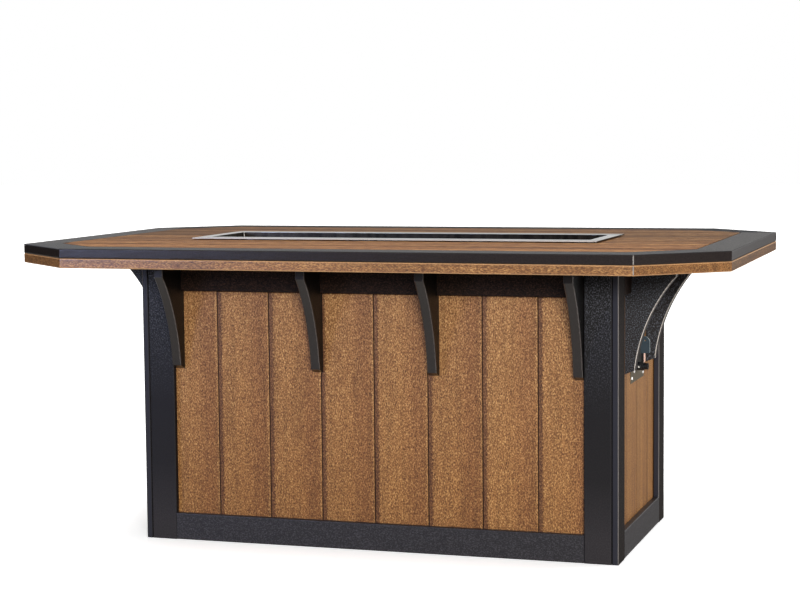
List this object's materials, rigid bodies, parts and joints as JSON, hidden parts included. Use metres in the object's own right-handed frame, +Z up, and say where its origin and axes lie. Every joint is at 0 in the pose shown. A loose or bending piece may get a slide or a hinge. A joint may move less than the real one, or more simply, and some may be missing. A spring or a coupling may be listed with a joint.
{
  "type": "ice bucket table",
  "caption": "Outdoor table with a board-clad box base, a clipped-corner deck on curved corbels, and a drop-in ice trough drained by a lever ball valve.",
  "frame": {"origin": "on the floor under the middle of the base, which is also the middle of the deck", "axes": "+X along the length towards the end with the drain valve, +Y from the front to the back, +Z up"},
  "size_m": [1.804, 1.164, 0.7712],
  "materials": {
    "dark_lumber": "hammered",
    "brown_lumber": "mottled wood grain",
    "stainless": "brushed",
    "seal_rubber": "matte",
    "white_pvc": "smooth",
    "black_valve": "satin black",
    "seat_plastic": "smooth",
    "ball_chrome": "polished",
    "grip_vinyl": "dipped vinyl"
  },
  "bodies": {
    "table": {"front_left_corner_boards": "dark_lumber", "front_right_corner_boards": "dark_lumber", "back_left_corner_boards": "dark_lumber", "back_right_corner_boards": "dark_lumber", "front_bottom_rail": "dark_lumber", "back_bottom_rail": "dark_lumber", "left_bottom_rail": "dark_lumber", "right_bottom_rail": "dark_lumber", "front_header": "dark_lumber", "back_header": "dark_lumber", "left_header": "dark_lumber", "right_header": "dark_lumber", "front_boards": "brown_lumber", "back_boards": "brown_lumber", "left_boards": "brown_lumber", "right_boards": "brown_lumber", "corner_posts": "dark_lumber", "bottom_nailers": "dark_lumber", "top_nailers": "dark_lumber", "front_corbels": "dark_lumber", "back_corbels": "dark_lumber", "left_corbels": "dark_lumber", "right_corbels": "dark_lumber", "corbel_screws": "stainless", "band_front": "brown_lumber", "band_back": "brown_lumber", "band_left": "brown_lumber", "band_right": "brown_lumber", "band_corners": "brown_lumber", "battens": "brown_lumber", "border_front": "dark_lumber", "border_back": "dark_lumber", "border_left": "dark_lumber", "border_right": "dark_lumber", "border_corners": "dark_lumber", "deck_planks_front": "brown_lumber", "deck_planks_back": "brown_lumber", "notched_plank_front": "brown_lumber", "notched_plank_back": "brown_lumber", "deck_planks_middle": "brown_lumber", "ice_trough": "stainless", "trough_seal": "seal_rubber", "drain_flange": "stainless", "drain_gasket": "seal_rubber", "drain_locknut": "stainless", "drain_strainer": "stainless", "drain_elbow": "white_pvc", "drain_pipe": "white_pvc", "valve_coupling": "white_pvc", "valve_plate": "stainless", "plate_screws": "stainless", "valve_body": "black_valve", "valve_seats": "seat_plastic", "hose_outlet": "black_valve"},
    "drain_lever": {"valve_lever": "stainless", "lever_grip": "grip_vinyl", "lever_nut": "stainless", "valve_stem": "stainless", "valve_ball": "ball_chrome"}
  },
  "joints": [
    {"name": "drain_lever_turn", "type": "hinge", "parent": "table", "child": "drain_lever", "pos_m": [0.6135, 0, 0.446], "axis": [0, 1, 0], "range_deg": [0, 90]}
  ]
}
